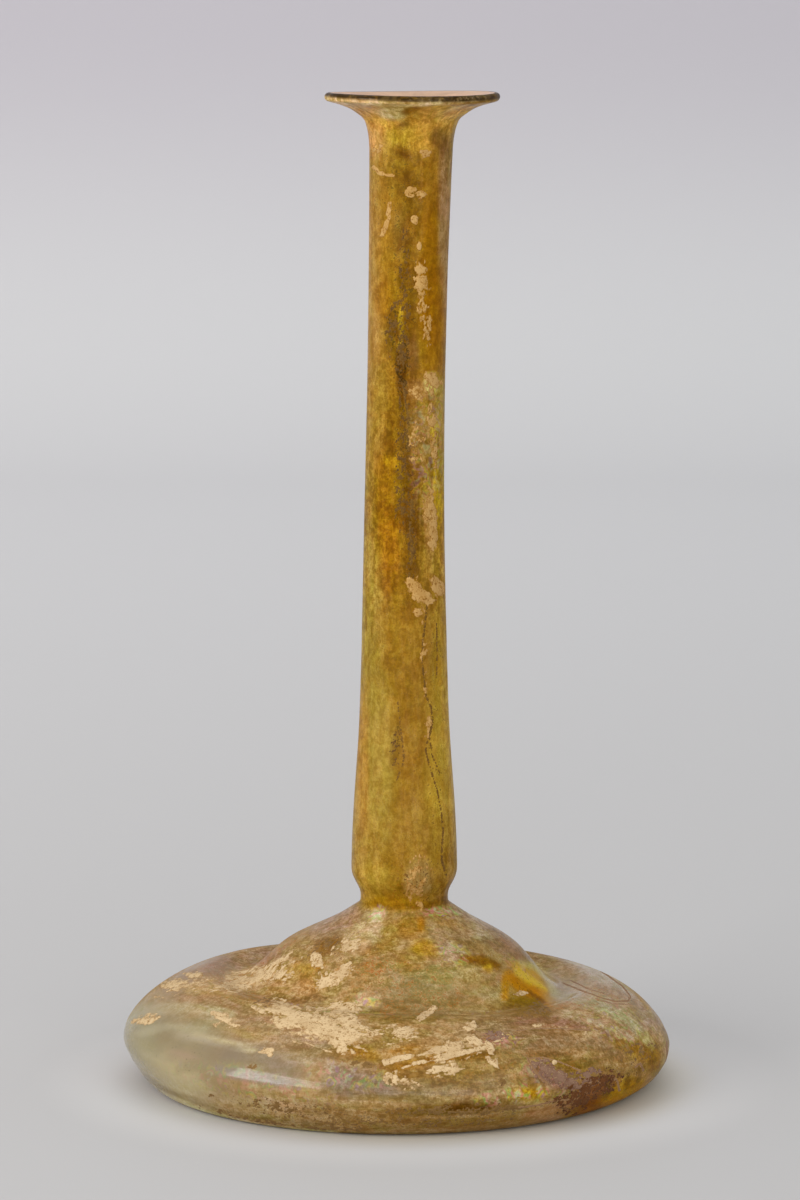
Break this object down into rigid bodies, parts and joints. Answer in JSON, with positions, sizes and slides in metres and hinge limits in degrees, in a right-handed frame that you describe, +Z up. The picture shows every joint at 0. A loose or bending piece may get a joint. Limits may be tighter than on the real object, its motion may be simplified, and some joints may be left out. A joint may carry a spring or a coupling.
{
  "type": "glass unguentarium",
  "caption": "Free-blown glass flask with a flared mouth, a long slender neck, a pinched waist and a low, wide, hollow body under a domed shoulder.",
  "frame": {"origin": "centre of the body's outline on the plane that the foot stands on", "axes": "+Z up along the neck, the front in the picture faces -Y"},
  "size_m": [0.1112, 0.1112, 0.2],
  "materials": {
    "weathered_glass": "glossy honey-coloured glass under a patchy matt weathered skin"
  },
  "bodies": {
    "root": {"unguentarium": "weathered_glass"}
  },
  "joints": []
}
